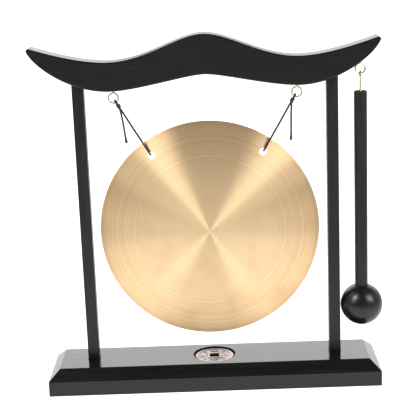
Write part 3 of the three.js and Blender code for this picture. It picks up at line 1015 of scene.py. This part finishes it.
def malletHook():
    # a ring that leaves its shank towards the front and opens low at the back
    low, high = corners("mallet_hook")
    centre = np.array([middle("mallet_hook")[0], 0, high[2] - malletPlan["outer"] / 2])
    stickTop = corners("mallet_stick")[1][2]
    piece = bentWire("mallet_hook_bent", malletPlan, centre, low[2], (0, 1, 0),
                     stickTop + malletPlan["shankOut"] - low[2])
    finished(piece, wireFinish, "mallet", "brass_wire", "mallet_hook")


def malletStick():
    # a filleted profile turned round the stick's axis and bored for the hook
    low, high = corners("mallet_stick")
    radius = (high[0] - low[0]) / 2
    profile = filleted([[0, low[2]], [radius, low[2]], [radius, high[2]], [0, high[2]]],
                       malletPlan["stickEdge"])
    stick = addPiece("mallet_stick_stained", turned(middle("mallet_stick"), profile, 64), 30)
    foot = corners("mallet_hook")[0][2] - fitGap
    carve(stick, [bore(middle("mallet_stick"), malletPlan["shank"] / 2 + fitGap, foot,
                       high[2] + past, 24)], 30)
    finished(stick, postFinish, "mallet", "lacquered_wood", "mallet_stick")
    # faces that look up or down are end grain
    stick.data.materials.append(endFinish)
    normals = np.zeros(3 * len(stick.data.polygons))
    stick.data.polygons.foreach_get("normal", normals)
    endGrain = np.abs(normals[2::3]) > 0.9
    stick.data.polygons.foreach_set("material_index", endGrain.astype(np.int32))


def malletHead():
    # a sphere's arc from the socket's lip to the bottom, with the socket's wall and floor inside
    low, high = corners("mallet_head")
    centre, radius = middle("mallet_head"), (high[0] - low[0]) / 2
    centreZ = low[2] + radius
    stickLow, stickHigh = corners("mallet_stick")
    wall = (stickHigh[0] - stickLow[0]) / 2 + fitGap
    floor, lip = stickLow[2] - fitGap, malletPlan["socketLip"]
    start = math.asin((wall + lip) / radius)
    arc = np.linspace(start, np.pi, 64)
    sphere = np.stack([radius * np.sin(arc), centreZ + radius * np.cos(arc)], -1)
    turn = np.radians(np.linspace(0, 75, 6))
    edge = np.stack([wall + lip * (1 - np.cos(turn)), sphere[0, 1] - lip + lip * np.sin(turn)], -1)
    profile = np.vstack([[[0, floor], [wall, floor]], edge, sphere])
    profile[-1, 0] = 0
    ball = addPiece("mallet_head_turned", turned(centre, profile, 96), 40)
    finished(ball, ballFinish, "mallet", "lacquered_wood", "mallet_head")


malletHook()
malletStick()
malletHead()
print("mallet made")


# A pale glowing table, a bright backdrop, and two softboxes with a weaker fill beside each.
studio = {
    "tableSize": 14,
    "tableGlow": 1.32,
    "farGlow": 0.42,  # past the lit patch round the object
    "fadeFrom": 0.17,
    "fadeTo": 0.47,
    "opening": 0.25,  # how fast the lit patch widens towards the back
    "tableDrop": 0.1 * mm,
    "backdrop": 3.0,  # high up; towards the horizon it falls to backdropLow
    "backdropLow": 0.5,
    "sides": 0.72,
    "front": 0.24,
    "overhead": 0.17,
    "lightTarget": 0.11,  # height that the softboxes point at
    "lightDistance": 1.2,
}
# direction from the target, width, height and radiance
softboxes = {
    "left_softbox": ((-0.555, -0.455, 0.696), 0.31, 0.5, 17),
    "right_softbox": ((0.672, -0.50, 0.564), 0.42, 0.5, 9.5),
    "left_fill": ((-0.74, -0.50, 0.446), 0.38, 0.6, 3.2),
    "right_fill": ((0.80, -0.44, 0.40), 0.42, 0.6, 3.4),
}


def studioTable():
    # lit from within round the object and fading away from it; the lit patch opens to the back
    bpy.ops.mesh.primitive_plane_add(size=studio["tableSize"])
    table = bpy.context.object
    table.name = "studio_table"
    table.location.z = -studio["tableDrop"]
    material, tree, shader, place = newMaterial("paleAcrylicTable")
    parts = addNode(tree, "ShaderNodeSeparateXYZ", {0: place})
    behind = plus(tree, plus(tree, parts.outputs[1], 0.0, "MAXIMUM"), studio["opening"], "MULTIPLY")
    aside = plus(tree, plus(tree, parts.outputs[0], 0.0, "ABSOLUTE"), behind, "SUBTRACT")
    outside = addNode(tree, "ShaderNodeCombineXYZ", {
        0: plus(tree, aside, 0.0, "MAXIMUM"), 1: plus(tree, parts.outputs[1], 0.0, "MINIMUM")})
    away = addNode(tree, "ShaderNodeVectorMath", {0: outside.outputs[0]},
                   operation="LENGTH").outputs["Value"]
    haze = noise(tree, place, [0.3] * 3, 2.0)
    glow = spread(tree, away, studio["fadeFrom"], studio["fadeTo"],
                  studio["tableGlow"], studio["farGlow"])
    glow = plus(tree, glow, spread(tree, haze, 0.3, 0.7, 0, 0.02))
    setShader(tree, shader, Base_Color=colour("#8F8F8F"), Roughness=0.9, IOR=1.2,
              Emission_Color=colour("#FFFFFF"), Emission_Strength=glow)
    table.data.materials.append(material)


def studioSurround():
    # bright behind, dim in front and dark overhead, by the direction looked in
    world = bpy.data.worlds.new("studio")
    bpy.context.scene.world = world
    world.use_nodes = True
    tree = world.node_tree
    parts = addNode(tree, "ShaderNodeSeparateXYZ", {
        0: addNode(tree, "ShaderNodeTexCoord").outputs["Generated"]})
    behind = spread(tree, parts.outputs[2], 0.0, 0.36, studio["backdropLow"], studio["backdrop"])
    level = plus(tree, spread(tree, parts.outputs[1], -0.55, 0.3, studio["front"], studio["sides"]),
                 plus(tree, spread(tree, parts.outputs[1], 0.5, 0.88, 0, 1),
                      plus(tree, behind, studio["sides"], "SUBTRACT"), "MULTIPLY"))
    share = spread(tree, parts.outputs[2], 0.35, 0.85, 0, 1)
    dim = plus(tree, plus(tree, 1.0, share, "SUBTRACT"), level, "MULTIPLY")
    total = plus(tree, dim, plus(tree, share, studio["overhead"], "MULTIPLY"))
    tree.links.new(total, tree.nodes["Background"].inputs["Strength"])
    tree.nodes["Background"].inputs["Color"].default_value = (1, 1, 1, 1)


def addSoftbox(name, direction, width, height, radiance):
    # faces the target; power = radiance * pi * area
    light = bpy.data.lights.new(name, "AREA")
    light.shape = "RECTANGLE"
    light.size, light.size_y = width, height
    light.energy = radiance * math.pi * width * height
    lamp = addObject(name, light)
    direction = Vector(direction).normalized()
    lamp.location = Vector((0, 0, studio["lightTarget"])) + direction * studio["lightDistance"]
    lamp.rotation_euler = direction.to_track_quat("Z", "Y").to_euler()


studioTable()
studioSurround()
for name, box in softboxes.items():
    addSoftbox(name, *box)
bpy.context.scene.view_settings.view_transform = "Standard"
print("studio lit")
